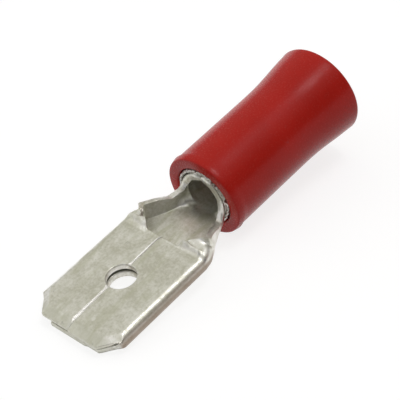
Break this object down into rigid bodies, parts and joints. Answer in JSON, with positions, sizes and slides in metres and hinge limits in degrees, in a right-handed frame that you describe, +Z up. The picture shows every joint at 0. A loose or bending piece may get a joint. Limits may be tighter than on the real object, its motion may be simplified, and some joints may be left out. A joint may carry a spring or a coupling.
{
  "type": "male spade terminal",
  "caption": "Insulated male crimp terminal: folded flat tab with a round detent hole, an open folded neck and a rolled barrel inside a flared soft sleeve.",
  "frame": {"origin": "centre of the footprint of the part's box, on the floor it lies on", "axes": "+X runs from the tab's tip to the wire entry, +Z is up on the seam side with the part lying on the underside of its tab tip and the front rim of its sleeve, +Y is to the left when looking along +X"},
  "size_m": [0.0218, 0.0064, 0.0068],
  "materials": {
    "tinned_brass": "dull tin plating, lightly stained",
    "tinned_support": "dull tin plating with a torn front edge",
    "red_vinyl": "satin soft red vinyl"
  },
  "bodies": {
    "root": {"blade_terminal": "tinned_brass", "insulating_sleeve": "red_vinyl", "support_sleeve": "tinned_support"}
  },
  "joints": []
}
